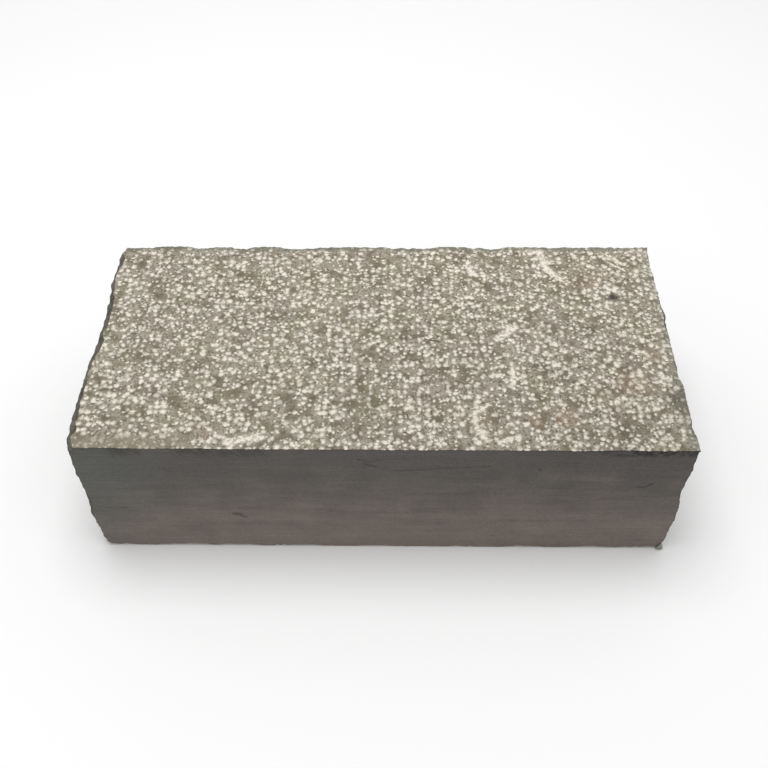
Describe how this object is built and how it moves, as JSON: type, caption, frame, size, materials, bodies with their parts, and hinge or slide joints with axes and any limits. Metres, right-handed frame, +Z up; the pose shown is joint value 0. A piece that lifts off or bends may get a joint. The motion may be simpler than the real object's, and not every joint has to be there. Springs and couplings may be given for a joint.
{
  "type": "dressed stone block",
  "caption": "Solid natural-stone block with a bush-hammered top, sawn front, back and bed and rough split ends, for a step, kerb, edging or wall.",
  "frame": {"origin": "centre of the bed, the sawn underside that the block rests on", "axes": "+X along the block's length, +Y from its front to its back, +Z up from the bed to the hammered top"},
  "size_m": [0.616, 0.298, 0.17],
  "materials": {
    "dressed_stone": "bush-hammered on top, sawn on the front, back and bed, split on the ends",
    "fresh_chip": "freshly broken"
  },
  "bodies": {
    "root": {"stone_block": "dressed_stone", "corner_flake": "fresh_chip"}
  },
  "joints": []
}
